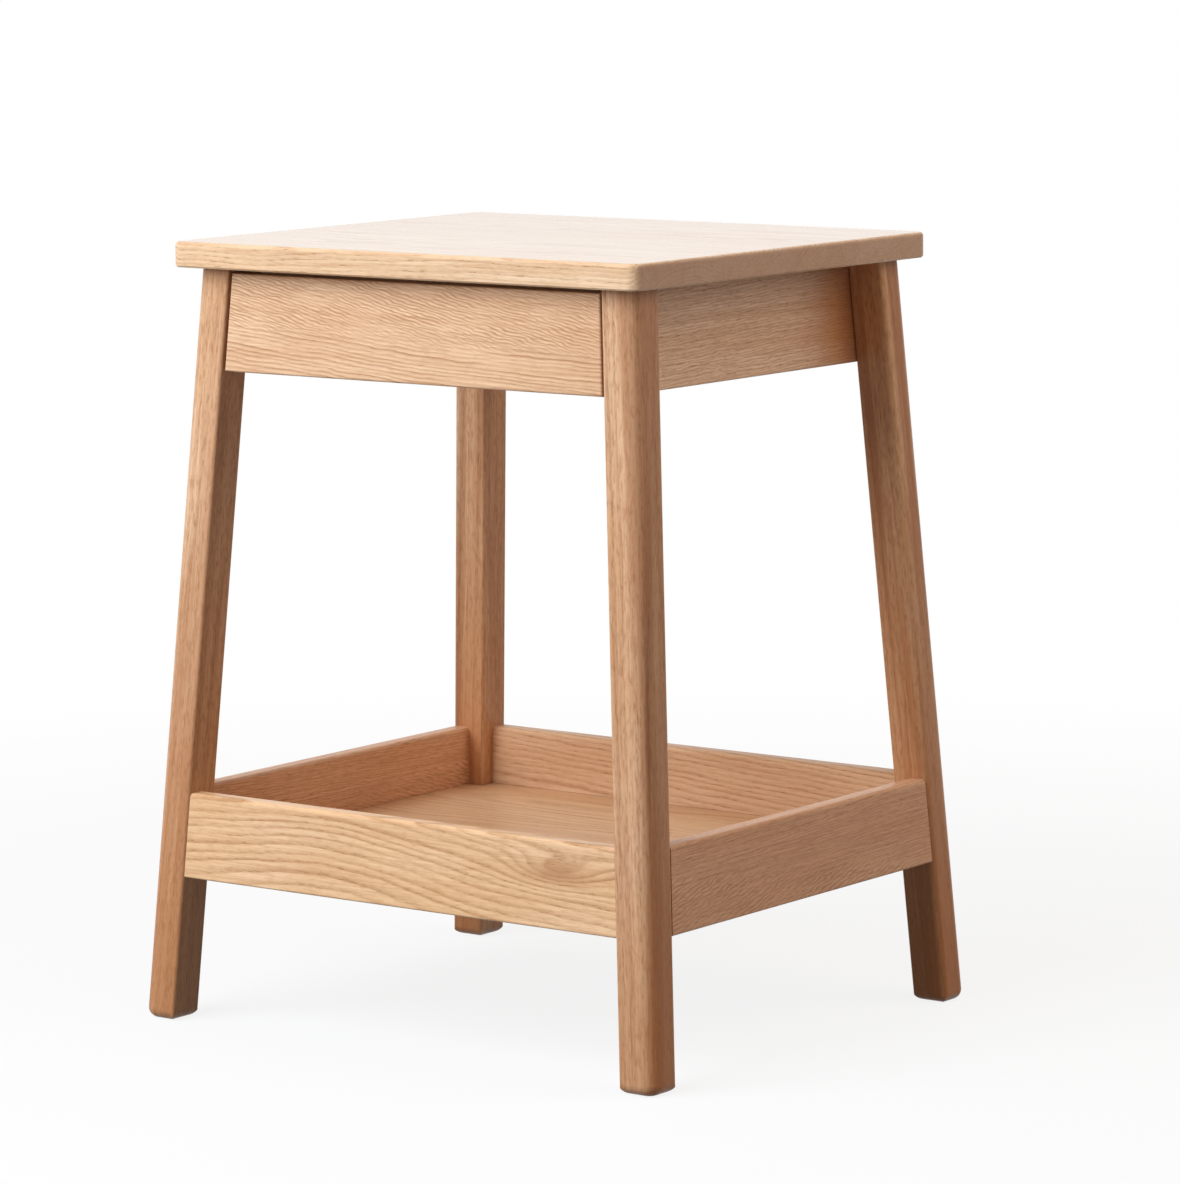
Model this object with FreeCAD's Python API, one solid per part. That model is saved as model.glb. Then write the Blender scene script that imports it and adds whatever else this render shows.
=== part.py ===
import FreeCAD
import Part
import math
import os

# Oak end table: splayed legs, a drawer under the top and a tray shelf near the floor.
# Millimetres, +Z up, origin on the floor under the middle of the top. The front is towards -Y.

# Tabletop
TOP_WIDTH = 400.0
TOP_DEPTH = 350.0
TABLE_HEIGHT = 550.0
TOP_THICKNESS = 18.0
TOP_CORNER_RADIUS = 9.0
TOP_UPPER_EDGE_RADIUS = 3.0
TOP_LOWER_EDGE_BEVEL = 1.2
TOP_OVERHANG_SIDE = 12.0
TOP_OVERHANG_FRONT = 15.0

# Legs, square in section; the spread is how far a foot stands out beyond the leg's own top
LEG_WIDTH = 28.0
LEG_OUTER_RADIUS = 10.0
LEG_SIDE_RADIUS = 4.0
LEG_EDGE_RADIUS = 2.0
FOOT_EDGE_RADIUS = 7.0
FOOT_SPREAD_SIDE = 35.0
FOOT_SPREAD_FRONT = 33.0

# Tray shelf: four rails between the legs and a floor panel in their grooves
TRAY_RAIL_LIFT = 103.0
TRAY_RAIL_HEIGHT = 60.0
TRAY_RAIL_THICKNESS = 14.0
TRAY_RAIL_RECESS = 1.2
TRAY_RAIL_UPPER_RADIUS = 3.0
TRAY_RAIL_LOWER_RADIUS = 1.5
TRAY_FLOOR_LIFT = 8.0
TRAY_FLOOR_THICKNESS = 8.0
TRAY_GROOVE_DEPTH = 5.0
TRAY_FLOOR_LEG_CLEARANCE = 0.8

# Aprons and the flat rails under the top
APRON_HEIGHT = 73.0
APRON_THICKNESS = 15.0
APRON_EDGE_RADIUS = 1.5
REAR_APRON_THICKNESS = 15.0
REAR_APRON_RECESS = 1.5
TOP_RAIL_WIDTH = 45.0
TOP_RAIL_THICKNESS = 15.0

# Drawer, pulled by the lip of its front below the box
DRAWER_FRONT_HEIGHT = 68.0
DRAWER_FRONT_THICKNESS = 16.0
DRAWER_FRONT_RECESS = 1.5
DRAWER_FRONT_TOP_REVEAL = 4.0
DRAWER_FRONT_SIDE_REVEAL = 2.0
DRAWER_FRONT_EDGE_RADIUS = 1.5
DRAWER_FRONT_STOP_GAP = 0.3
DRAWER_LIP = 11.0
DRAWER_LIP_BEVEL = 5.0
DRAWER_SIDE_THICKNESS = 12.0
DRAWER_SIDE_CLEARANCE = 0.8
DRAWER_HEADROOM = 1.5
DRAWER_BACK_THICKNESS = 12.0
DRAWER_BACK_GAP = 16.0
DRAWER_BOTTOM_THICKNESS = 5.0
DRAWER_BOTTOM_LIFT = 6.0
DRAWER_GROOVE_DEPTH = 5.0
DRAWER_RIM_RADIUS = 1.5
RUNNER_CLEARANCE = 0.3
RUNNER_LEDGE = 2.0

# Panels in grooves: play above the panel and at its edges
PANEL_PLAY = 0.2
PANEL_EDGE_PLAY = 0.7

# Tenons and housings
TRAY_TENON_LENGTH = 14.0
TRAY_TENON_THICKNESS = 7.0
TRAY_TENON_SHOULDER = 5.0
APRON_TENON_LENGTH = 14.0
APRON_TENON_THICKNESS = 7.0
APRON_TENON_SHOULDER = 10.0
TOP_RAIL_TENON_LENGTH = 7.0
TOP_RAIL_TENON_THICKNESS = 7.0
TOP_RAIL_TENON_SHOULDER = 6.0
DRAWER_FRONT_HOUSING = 6.0
DRAWER_BACK_HOUSING = 4.0
DRAWER_SIDE_TAIL = 10.0
JOINT_PLAY = 0.1
JOINT_END_PLAY = 0.4

# Countersunk wood screws
SCREW_DIAMETER = 3.5
SCREW_HEAD_DIAMETER = 7.0
SCREW_HEAD_HEIGHT = 2.2
SCREW_TIP_LENGTH = 4.0
SCREW_TIP_DIAMETER = 1.0
SCREW_FACETS = 10
SCREW_SINK = 0.4
SCREW_PLAY = 0.1
APRON_SCREW_BITE = 17.0
RUNNER_SCREW_BITE = 9.0
TOP_SCREW_BITE = 11.0
APRON_SCREW_HEIGHT_SHARES = (0.32, 0.8)
RUNNER_SCREW_SHARES = (0.2, 0.8)
TOP_SCREW_SHARES = (-0.55, 0.55)

# Extra reach of a cutting shape past the face that it opens
CUT_OVERRUN = 5.0

# Derived heights and planes
ORIGIN = FreeCAD.Vector(0, 0, 0)
ALONG_X = FreeCAD.Vector(1, 0, 0)
ALONG_Y = FreeCAD.Vector(0, 1, 0)
UP = FreeCAD.Vector(0, 0, 1)

underside = TABLE_HEIGHT - TOP_THICKNESS
leg_top_x = TOP_WIDTH / 2 - TOP_OVERHANG_SIDE
leg_top_y = TOP_DEPTH / 2 - TOP_OVERHANG_FRONT
slope_x = FOOT_SPREAD_SIDE / underside
slope_y = FOOT_SPREAD_FRONT / underside

tray_low = TRAY_RAIL_LIFT
tray_high = tray_low + TRAY_RAIL_HEIGHT
tray_floor_low = tray_low + TRAY_FLOOR_LIFT
tray_floor_high = tray_floor_low + TRAY_FLOOR_THICKNESS
tray_groove_high = tray_floor_high + PANEL_PLAY
tray_rail_inset = TRAY_RAIL_RECESS + TRAY_RAIL_THICKNESS

apron_low = underside - APRON_HEIGHT
apron_inset = LEG_WIDTH + APRON_THICKNESS
rear_apron_inset = REAR_APRON_RECESS + REAR_APRON_THICKNESS
top_rail_low = underside - TOP_RAIL_THICKNESS

front_high = underside - DRAWER_FRONT_TOP_REVEAL
front_low = front_high - DRAWER_FRONT_HEIGHT
front_inset = DRAWER_FRONT_RECESS + DRAWER_FRONT_THICKNESS
apron_front_inset = front_inset + DRAWER_FRONT_STOP_GAP
box_low = front_low + DRAWER_LIP
box_high = top_rail_low - DRAWER_HEADROOM
bottom_low = box_low + DRAWER_BOTTOM_LIFT
bottom_high = bottom_low + DRAWER_BOTTOM_THICKNESS
bottom_groove_high = bottom_high + PANEL_PLAY


def lean_x(inset):
    """Plane parallel to the right legs' outer side, that far inside it: its X at a height."""
    return lambda z: leg_top_x - inset + slope_x * (underside - z)


def lean_y(inset):
    """Plane parallel to the rear legs' outer face, that far inside it: its Y at a height."""
    return lambda z: leg_top_y - inset + slope_y * (underside - z)


def upright(place):
    """Vertical plane."""
    return lambda z: place


def opposite(plane):
    """The same plane on the other side of the table."""
    return lambda z: -plane(z)


drawer_side_outer = lean_x(apron_inset)(box_high) - DRAWER_SIDE_CLEARANCE
drawer_side_inner = drawer_side_outer - DRAWER_SIDE_THICKNESS
drawer_side_rear = lean_y(rear_apron_inset)(underside) - DRAWER_BACK_GAP
drawer_back_rear = drawer_side_rear - DRAWER_SIDE_TAIL
drawer_back_front = drawer_back_rear - DRAWER_BACK_THICKNESS
front_rail_south = -lean_y(apron_front_inset)(underside)
front_rail_north = front_rail_south + TOP_RAIL_WIDTH
rear_rail_north = lean_y(rear_apron_inset)(underside)
rear_rail_south = rear_rail_north - TOP_RAIL_WIDTH


def between_heights(low, high, first, second):
    """Corners of a profile that is bounded by two planes, as pairs of place and height."""
    return [(first(low), low), (second(low), low), (second(high), high), (first(high), high)]


def closed_face(points):
    return Part.Face(Part.makePolygon(points + points[:1]))


def leaning_block(low, high, west, east, south, north):
    """Block whose front profile, extruded, is trimmed by its side profile."""
    front = between_heights(low, high, west, east)
    side = between_heights(low, high, south, north)
    xs = [x for x, z in front]
    ys = [y for y, z in side]
    x_start = min(xs) - CUT_OVERRUN
    y_start = min(ys) - CUT_OVERRUN
    front_face = closed_face([FreeCAD.Vector(x, y_start, z) for x, z in front])
    side_face = closed_face([FreeCAD.Vector(x_start, y, z) for y, z in side])
    deep = front_face.extrude(ALONG_Y * (max(ys) + CUT_OVERRUN - y_start))
    wide = side_face.extrude(ALONG_X * (max(xs) + CUT_OVERRUN - x_start))
    return deep.common(wide).Solids[0]


def straight_block(low, high, west, east, south, north):
    return leaning_block(low, high, upright(west), upright(east), upright(south), upright(north))


def edges_along(shape, direction):
    """Straight edges within a few degrees of a direction."""
    near_share = 0.98
    found = []
    for edge in shape.Edges:
        start, end = edge.Vertexes[0].Point, edge.Vertexes[-1].Point
        run = end - start
        if run.Length and abs(run.dot(direction)) > near_share * run.Length:
            found.append(edge)
    return found


def at_height(edges, height):
    """Those of some edges that lie flat at a height."""
    flat_share = 1e-6
    tolerance = flat_share * TABLE_HEIGHT
    found = []
    for edge in edges:
        box = edge.BoundBox
        if abs(box.ZMin - height) < tolerance and abs(box.ZMax - height) < tolerance:
            found.append(edge)
    return found


def near_plane(edge, plane):
    """Whether an edge lies on a leaning plane that faces along Y."""
    near_share = 1e-6
    tolerance = near_share * TABLE_HEIGHT
    ends = [vertex.Point for vertex in edge.Vertexes]
    return all(abs(end.y - plane(end.z)) < tolerance for end in ends)


def mirrored(shape, across_x=False, across_y=False):
    if across_x:
        shape = shape.mirror(ORIGIN, ALONG_X)
    if across_y:
        shape = shape.mirror(ORIGIN, ALONG_Y)
    return shape


def four_corners(shape):
    """A shape of the rear right corner, repeated at all four corners."""
    return [mirrored(shape, left, front) for left in (False, True) for front in (False, True)]


def both_sides(shape):
    """A shape of the right side, and its mirror image on the left."""
    return [shape, mirrored(shape, across_x=True)]


def cut_by(blank, tools):
    """Cuts by tools that may cross each other, one after another."""
    for tool in tools:
        blank = blank.cut(tool)
    return blank.Solids[0]


def aimed(shape, place, direction):
    """A shape drawn along +Z from the origin, moved to a place and turned along a direction."""
    turned = shape.copy()
    turned.Placement = FreeCAD.Placement(place, FreeCAD.Rotation(UP, direction))
    return turned


def joined(first, second):
    return first.fuse(second).removeSplitter().Solids[0]


def faceted(stations):
    """A turned form with flat facets, through regular polygons of given radius and height."""
    step = 2 * math.pi / SCREW_FACETS
    directions = [(math.cos(step * turn), math.sin(step * turn)) for turn in range(SCREW_FACETS)]
    rings = []
    for radius, along in stations:
        corners = [FreeCAD.Vector(radius * x, radius * y, along) for x, y in directions]
        rings.append(Part.makePolygon(corners + corners[:1]))
    return Part.makeLoft(rings, True, True)


def screw_at(place, direction, length):
    """A countersunk screw driven in from a face, and the hole for it."""
    head = SCREW_HEAD_DIAMETER / 2
    shank = SCREW_DIAMETER / 2
    tip = SCREW_TIP_DIAMETER / 2
    neck = SCREW_HEAD_HEIGHT
    screw = faceted([(head, 0), (shank, neck), (shank, length - SCREW_TIP_LENGTH), (tip, length)])
    wide_head = head + SCREW_PLAY
    wide_shank = shank + SCREW_PLAY
    end = length + SCREW_PLAY
    hole = faceted([(wide_head, -CUT_OVERRUN), (wide_head, 0), (wide_shank, neck), (wide_shank, end)])
    seat = place + direction * SCREW_SINK
    return aimed(screw, seat, direction), aimed(hole, seat, direction)


def make_tabletop():
    board = Part.makeBox(
        TOP_WIDTH, TOP_DEPTH, TOP_THICKNESS, FreeCAD.Vector(-TOP_WIDTH / 2, -TOP_DEPTH / 2, underside)
    )
    board = board.makeFillet(TOP_CORNER_RADIUS, edges_along(board, UP))
    board = board.makeFillet(TOP_UPPER_EDGE_RADIUS, at_height(board.Edges, TABLE_HEIGHT))
    return board.makeChamfer(TOP_LOWER_EDGE_BEVEL, at_height(board.Edges, underside))


def round_upright(leg, radius, toward):
    """Rounds the upright edge of a leg that lies furthest in a direction."""
    edge = max(edges_along(leg, UP), key=lambda upright_edge: upright_edge.CenterOfMass.dot(toward))
    return leg.makeFillet(radius, [edge])


def make_rear_right_leg():
    """What two copies of a blank share: one has its foot rounded, the other its upright edges."""
    blank = leaning_block(0, underside, lean_x(LEG_WIDTH), lean_x(0), lean_y(LEG_WIDTH), lean_y(0))
    blank = round_upright(blank, LEG_OUTER_RADIUS, ALONG_X + ALONG_Y)
    foot_rounded = blank.makeFillet(FOOT_EDGE_RADIUS, at_height(blank.Edges, 0))
    edges_rounded = round_upright(blank, LEG_SIDE_RADIUS, ALONG_X - ALONG_Y)
    edges_rounded = round_upright(edges_rounded, LEG_EDGE_RADIUS, ALONG_Y - ALONG_X)
    edges_rounded = round_upright(edges_rounded, LEG_EDGE_RADIUS, -ALONG_X - ALONG_Y)
    return foot_rounded.common(edges_rounded).Solids[0]


def tray_tenon(toward_x, play=0.0, end_play=0.0):
    """Tenon through a tray rail from leg to leg: along X in the rear rail, along Y in the right one."""
    low = tray_groove_high + TRAY_TENON_SHOULDER - play
    high = tray_high - TRAY_TENON_SHOULDER + play
    cheek = TRAY_RAIL_RECESS + (TRAY_RAIL_THICKNESS - TRAY_TENON_THICKNESS) / 2
    outer_inset = cheek - play
    inner_inset = cheek + TRAY_TENON_THICKNESS + play
    end_inset = LEG_WIDTH - TRAY_TENON_LENGTH - end_play
    if toward_x:
        end = lean_x(end_inset)
        return leaning_block(low, high, opposite(end), end, lean_y(inner_inset), lean_y(outer_inset))
    end = lean_y(end_inset)
    return leaning_block(low, high, lean_x(inner_inset), lean_x(outer_inset), opposite(end), end)


def round_tray_rail(rail, along):
    rail = rail.makeFillet(TRAY_RAIL_UPPER_RADIUS, at_height(edges_along(rail, along), tray_high))
    return rail.makeFillet(TRAY_RAIL_LOWER_RADIUS, at_height(edges_along(rail, along), tray_low))


def make_rear_tray_rail():
    end = lean_x(LEG_WIDTH)
    rail = leaning_block(
        tray_low, tray_high, opposite(end), end, lean_y(tray_rail_inset), lean_y(TRAY_RAIL_RECESS)
    )
    rail = round_tray_rail(rail, ALONG_X)
    groove_end = lean_y(tray_rail_inset)(tray_floor_low) + TRAY_GROOVE_DEPTH
    groove = straight_block(tray_floor_low, tray_groove_high, -TOP_WIDTH, TOP_WIDTH, 0, groove_end)
    return joined(rail.cut(groove), tray_tenon(True))


def make_right_tray_rail():
    end = lean_y(LEG_WIDTH)
    rail = leaning_block(
        tray_low, tray_high, lean_x(tray_rail_inset), lean_x(TRAY_RAIL_RECESS), opposite(end), end
    )
    rail = round_tray_rail(rail, ALONG_Y)
    groove_end = lean_x(tray_rail_inset)(tray_floor_low) + TRAY_GROOVE_DEPTH
    groove = straight_block(tray_floor_low, tray_groove_high, 0, groove_end, -TOP_DEPTH, TOP_DEPTH)
    return joined(rail.cut(groove), tray_tenon(False))


def make_tray_floor():
    reach = TRAY_GROOVE_DEPTH - PANEL_EDGE_PLAY
    half_x = lean_x(tray_rail_inset)(tray_floor_low) + reach
    half_y = lean_y(tray_rail_inset)(tray_floor_low) + reach
    panel = straight_block(tray_floor_low, tray_floor_high, -half_x, half_x, -half_y, half_y)
    notch = straight_block(
        tray_floor_low - CUT_OVERRUN,
        tray_floor_high + CUT_OVERRUN,
        lean_x(LEG_WIDTH)(tray_floor_high) - TRAY_FLOOR_LEG_CLEARANCE,
        half_x + CUT_OVERRUN,
        lean_y(LEG_WIDTH)(tray_floor_high) - TRAY_FLOOR_LEG_CLEARANCE,
        half_y + CUT_OVERRUN,
    )
    return cut_by(panel, four_corners(notch))


def make_right_apron():
    apron = leaning_block(
        apron_low,
        underside,
        lean_x(apron_inset),
        lean_x(LEG_WIDTH),
        opposite(lean_y(apron_front_inset)),
        lean_y(rear_apron_inset),
    )
    lower = at_height(edges_along(apron, ALONG_Y), apron_low)
    return apron.makeFillet(APRON_EDGE_RADIUS, lower)


def rear_apron_tenon(play=0.0, end_play=0.0):
    cheek = REAR_APRON_RECESS + (REAR_APRON_THICKNESS - APRON_TENON_THICKNESS) / 2
    end = lean_x(LEG_WIDTH - APRON_TENON_LENGTH - end_play)
    return leaning_block(
        apron_low + APRON_TENON_SHOULDER - play,
        underside - APRON_TENON_SHOULDER + play,
        opposite(end),
        end,
        lean_y(cheek + APRON_TENON_THICKNESS + play),
        lean_y(cheek - play),
    )


def make_rear_apron():
    end = lean_x(LEG_WIDTH)
    apron = leaning_block(
        apron_low, underside, opposite(end), end, lean_y(rear_apron_inset), lean_y(REAR_APRON_RECESS)
    )
    apron = apron.makeFillet(APRON_EDGE_RADIUS, at_height(edges_along(apron, ALONG_X), apron_low))
    return joined(apron, rear_apron_tenon())


def top_rail_tenon(south, north, play=0.0, end_play=0.0):
    cheek = (TOP_RAIL_THICKNESS - TOP_RAIL_TENON_THICKNESS) / 2 - play
    end = lean_x(apron_inset - TOP_RAIL_TENON_LENGTH - end_play)
    return leaning_block(
        top_rail_low + cheek,
        underside - cheek,
        opposite(end),
        end,
        upright(south + TOP_RAIL_TENON_SHOULDER - play),
        upright(north - TOP_RAIL_TENON_SHOULDER + play),
    )


def make_top_rail(south, north):
    """Flat rail between the side aprons, from one Y to another."""
    end = lean_x(apron_inset)
    rail = leaning_block(top_rail_low, underside, opposite(end), end, upright(south), upright(north))
    return joined(rail, top_rail_tenon(south, north))


def make_drawer_front():
    end = lean_x(LEG_WIDTH + DRAWER_FRONT_SIDE_REVEAL)
    outer = opposite(lean_y(DRAWER_FRONT_RECESS))
    inner = opposite(lean_y(front_inset))
    front = leaning_block(front_low, front_high, opposite(end), end, outer, inner)
    lower = at_height(edges_along(front, ALONG_X), front_low)
    rear_low = max(lower, key=lambda edge: edge.CenterOfMass.y)
    front = front.makeChamfer(DRAWER_LIP_BEVEL, [rear_low])
    face_edges = [edge for edge in front.Edges if near_plane(edge, outer)]
    front = front.makeFillet(DRAWER_FRONT_EDGE_RADIUS, face_edges)
    groove_half = drawer_side_inner + DRAWER_GROOVE_DEPTH
    groove_end = inner(bottom_high) - DRAWER_GROOVE_DEPTH
    groove_mouth = inner(bottom_high) + CUT_OVERRUN
    groove = straight_block(
        bottom_low, bottom_groove_high, -groove_half, groove_half, groove_end, groove_mouth
    )
    housing = leaning_block(
        box_low - JOINT_PLAY,
        box_high + JOINT_PLAY,
        upright(drawer_side_inner - JOINT_PLAY),
        upright(drawer_side_outer + JOINT_PLAY),
        opposite(lean_y(front_inset - DRAWER_FRONT_HOUSING - JOINT_END_PLAY)),
        opposite(lean_y(front_inset + CUT_OVERRUN)),
    )
    return cut_by(front.cut(groove), both_sides(housing))


def make_right_drawer_side():
    side = leaning_block(
        box_low,
        box_high,
        upright(drawer_side_inner),
        upright(drawer_side_outer),
        opposite(lean_y(front_inset - DRAWER_FRONT_HOUSING)),
        upright(drawer_side_rear),
    )
    side = side.makeFillet(DRAWER_RIM_RADIUS, at_height(edges_along(side, ALONG_Y), box_high))
    groove_end = drawer_side_inner + DRAWER_GROOVE_DEPTH
    groove = straight_block(
        bottom_low, bottom_groove_high, 0, groove_end, -TOP_DEPTH, drawer_back_front + DRAWER_GROOVE_DEPTH
    )
    housing = straight_block(
        box_low - CUT_OVERRUN,
        box_high + CUT_OVERRUN,
        0,
        drawer_side_inner + DRAWER_BACK_HOUSING + JOINT_END_PLAY,
        drawer_back_front - JOINT_PLAY,
        drawer_back_rear + JOINT_PLAY,
    )
    return side.cut(groove).cut(housing).Solids[0]


def make_drawer_back():
    half = drawer_side_inner + DRAWER_BACK_HOUSING
    back = straight_block(box_low, box_high, -half, half, drawer_back_front, drawer_back_rear)
    back = back.makeFillet(DRAWER_RIM_RADIUS, at_height(edges_along(back, ALONG_X), box_high))
    groove_end = drawer_back_front + DRAWER_GROOVE_DEPTH
    groove = straight_block(bottom_low, bottom_groove_high, -TOP_WIDTH, TOP_WIDTH, 0, groove_end)
    return back.cut(groove).Solids[0]


def make_drawer_bottom():
    reach = DRAWER_GROOVE_DEPTH - PANEL_EDGE_PLAY
    half_x = drawer_side_inner + reach
    front_y = -lean_y(front_inset)(bottom_high) - reach
    return straight_block(bottom_low, bottom_high, -half_x, half_x, front_y, drawer_back_front + reach)


def make_right_runner():
    return leaning_block(
        apron_low + APRON_EDGE_RADIUS,
        box_low - RUNNER_CLEARANCE,
        upright(drawer_side_inner - RUNNER_LEDGE),
        lean_x(apron_inset),
        opposite(lean_y(apron_front_inset)),
        lean_y(rear_apron_inset),
    )


def make_apron_screws():
    """Screws through the side aprons, square to their leaning faces, into the legs behind them."""
    outward = FreeCAD.Vector(1, 0, slope_x).normalize()
    length = APRON_THICKNESS + APRON_SCREW_BITE - SCREW_SINK
    front_middle = (apron_front_inset + LEG_WIDTH) / 2
    rear_middle = (rear_apron_inset + LEG_WIDTH) / 2
    pairs = []
    for share in APRON_SCREW_HEIGHT_SHARES:
        z = apron_low + share * APRON_HEIGHT
        x = lean_x(apron_inset)(z)
        for y in (-lean_y(front_middle)(z), lean_y(rear_middle)(z)):
            pairs.append(screw_at(FreeCAD.Vector(x, y, z), outward, length))
    return repeated(pairs, both_sides)


def make_runner_screws():
    low = apron_low + APRON_EDGE_RADIUS
    z = (low + box_low - RUNNER_CLEARANCE) / 2
    start = -lean_y(apron_front_inset)(z)
    end = lean_y(rear_apron_inset)(z)
    x = drawer_side_inner - RUNNER_LEDGE
    length = lean_x(apron_inset)(z) - x + RUNNER_SCREW_BITE - SCREW_SINK
    pairs = []
    for share in RUNNER_SCREW_SHARES:
        place = FreeCAD.Vector(x, start + share * (end - start), z)
        pairs.append(screw_at(place, ALONG_X, length))
    return repeated(pairs, both_sides)


def make_top_screws():
    length = TOP_RAIL_THICKNESS + TOP_SCREW_BITE - SCREW_SINK
    half = lean_x(apron_inset)(underside)
    pairs = []
    for share in TOP_SCREW_SHARES:
        for y in ((front_rail_south + front_rail_north) / 2, (rear_rail_south + rear_rail_north) / 2):
            pairs.append(screw_at(FreeCAD.Vector(share * half, y, top_rail_low), UP, length))
    return repeated(pairs, lambda shape: [shape])


def repeated(pairs, pattern):
    """Fasteners and their holes, each copied by a pattern."""
    fasteners = [copy for fastener, hole in pairs for copy in pattern(fastener)]
    holes = [copy for fastener, hole in pairs for copy in pattern(hole)]
    return Part.makeCompound(fasteners), holes


def leg_mortises():
    """Mortises for the tray rails in all legs and for the rear apron in the rear legs."""
    along_x = tray_tenon(True, JOINT_PLAY, JOINT_END_PLAY)
    along_y = tray_tenon(False, JOINT_PLAY, JOINT_END_PLAY)
    rails = [along_x, mirrored(along_x, across_y=True), along_y, mirrored(along_y, across_x=True)]
    return rails + [rear_apron_tenon(JOINT_PLAY, JOINT_END_PLAY)]


def apron_mortises():
    spans = ((front_rail_south, front_rail_north), (rear_rail_south, rear_rail_north))
    return [top_rail_tenon(south, north, JOINT_PLAY, JOINT_END_PLAY) for south, north in spans]


def build_nodes():
    apron_screws, apron_holes = make_apron_screws()
    runner_screws, runner_holes = make_runner_screws()
    top_screws, top_holes = make_top_screws()

    nodes = {"tabletop": cut_by(make_tabletop(), top_holes)}

    leg = make_rear_right_leg()
    leg_cuts = leg_mortises() + apron_holes
    apron = make_right_apron()
    apron_cuts = apron_mortises() + apron_holes + runner_holes
    runner = make_right_runner()
    tray_rail = make_right_tray_rail()
    drawer_side = make_right_drawer_side()
    for side, is_left in (("right", False), ("left", True)):
        for end, is_front in (("rear", False), ("front", True)):
            nodes["leg_" + end + "_" + side] = cut_by(mirrored(leg, is_left, is_front), leg_cuts)
        nodes["side_apron_" + side] = cut_by(mirrored(apron, is_left), apron_cuts)
        nodes["drawer_runner_" + side] = cut_by(mirrored(runner, is_left), runner_holes)
        nodes["tray_rail_" + side] = mirrored(tray_rail, is_left)
        nodes["drawer_side_" + side] = mirrored(drawer_side, is_left)

    nodes["tray_rail_rear"] = make_rear_tray_rail()
    nodes["tray_rail_front"] = mirrored(nodes["tray_rail_rear"], across_y=True)
    nodes["tray_floor"] = make_tray_floor()
    nodes["rear_apron"] = make_rear_apron()
    nodes["top_rail_front"] = cut_by(make_top_rail(front_rail_south, front_rail_north), top_holes)
    nodes["top_rail_rear"] = cut_by(make_top_rail(rear_rail_south, rear_rail_north), top_holes)
    nodes["drawer_front"] = make_drawer_front()
    nodes["drawer_back"] = make_drawer_back()
    nodes["drawer_bottom"] = make_drawer_bottom()

    nodes["side_apron_screws"] = apron_screws
    nodes["runner_screws"] = runner_screws
    nodes["tabletop_screws"] = top_screws
    return nodes


os.makedirs("parts", exist_ok=True)
for name, shape in build_nodes().items():
    shape.exportStep("parts/" + name + ".step")
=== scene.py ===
import math

import bmesh
import bpy
from mathutils import Matrix, Vector


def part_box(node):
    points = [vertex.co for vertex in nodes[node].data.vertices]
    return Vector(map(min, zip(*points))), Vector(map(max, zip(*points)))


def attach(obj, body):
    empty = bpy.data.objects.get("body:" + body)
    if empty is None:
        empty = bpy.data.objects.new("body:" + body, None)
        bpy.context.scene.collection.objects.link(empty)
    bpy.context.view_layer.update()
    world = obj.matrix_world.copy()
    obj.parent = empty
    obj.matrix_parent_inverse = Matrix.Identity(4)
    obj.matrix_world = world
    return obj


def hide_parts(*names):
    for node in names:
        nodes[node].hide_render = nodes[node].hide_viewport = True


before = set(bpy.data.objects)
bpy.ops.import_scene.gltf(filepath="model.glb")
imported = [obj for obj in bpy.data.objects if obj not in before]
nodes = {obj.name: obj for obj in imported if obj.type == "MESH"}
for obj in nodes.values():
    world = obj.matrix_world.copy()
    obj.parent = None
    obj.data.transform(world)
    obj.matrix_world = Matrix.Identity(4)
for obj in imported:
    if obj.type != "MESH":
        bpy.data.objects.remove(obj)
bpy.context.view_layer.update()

# Lengths are in metres; those that are easier to read in millimetres are written as mm(...)
MM = 0.001

# Directions in the table's frame
FRONT, REAR = Vector((0.0, -1.0, 0.0)), Vector((0.0, 1.0, 0.0))
RIGHT, LEFT = Vector((1.0, 0.0, 0.0)), Vector((-1.0, 0.0, 0.0))
UP = Vector((0.0, 0.0, 1.0))

# Camera, as fitted to the photograph: angles in radians, focal length in pixels of its frame
CAMERA_YAW = 0.63625
CAMERA_PITCH = 0.13865
CAMERA_ROLL = -0.00695
CAMERA_DISTANCE = 3.7941
CAMERA_AIM = Vector((0.0, 0.0, 0.3))
CAMERA_SLIDE_RIGHT = 0.02537
CAMERA_SLIDE_UP = -0.00111
FOCAL_PIXELS = 5378.9
PICTURE_LONG_SIDE = 1184
SENSOR_MM = 36.0
CAMERA_REACH = 100.0

# Studio: a cool key light high on the left of the front, a warm fill behind on the right
LIGHT_AIM = (0.0, 0.0, 0.32)
KEY_PLACE, KEY_SIZE, KEY_WATTS = (-0.72, -2.0, 1.7), 2.2, 87.0
KEY_TINT = (0.93, 1.0, 1.1)
FILL_PLACE, FILL_SIZE, FILL_WATTS = (1.4, 0.5, 1.3), 1.4, 11.8
FILL_TINT = (1.0, 0.87, 0.78)
AMBIENT = 0.26
AMBIENT_TINT = (1.0, 0.84, 0.72, 1.0)
WHITE = (1.0, 1.0, 1.0, 1.0)
FLOOR_RADIUS, FLOOR_SIDES = 6.0, 96
FLOOR_DROP = 0.0002
FLOOR_GREY = (0.16, 0.16, 0.16, 1.0)
FLOOR_PALE = (0.8, 0.8, 0.8, 1.0)
FLOOR_BRIGHT_SHARE = 0.86
FLOOR_FADE_START, FLOOR_FADE_END = 0.5, 1.6


def mm(*lengths):
    return tuple(length * MM for length in lengths)


def linear(red, green, blue):
    """A colour written in sRGB steps of 255, as linear values with alpha."""
    def channel(step):
        share = step / 255
        return share / 12.92 if share <= 0.04045 else ((share + 0.055) / 1.055) ** 2.4
    return channel(red), channel(green), channel(blue), 1.0


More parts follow.
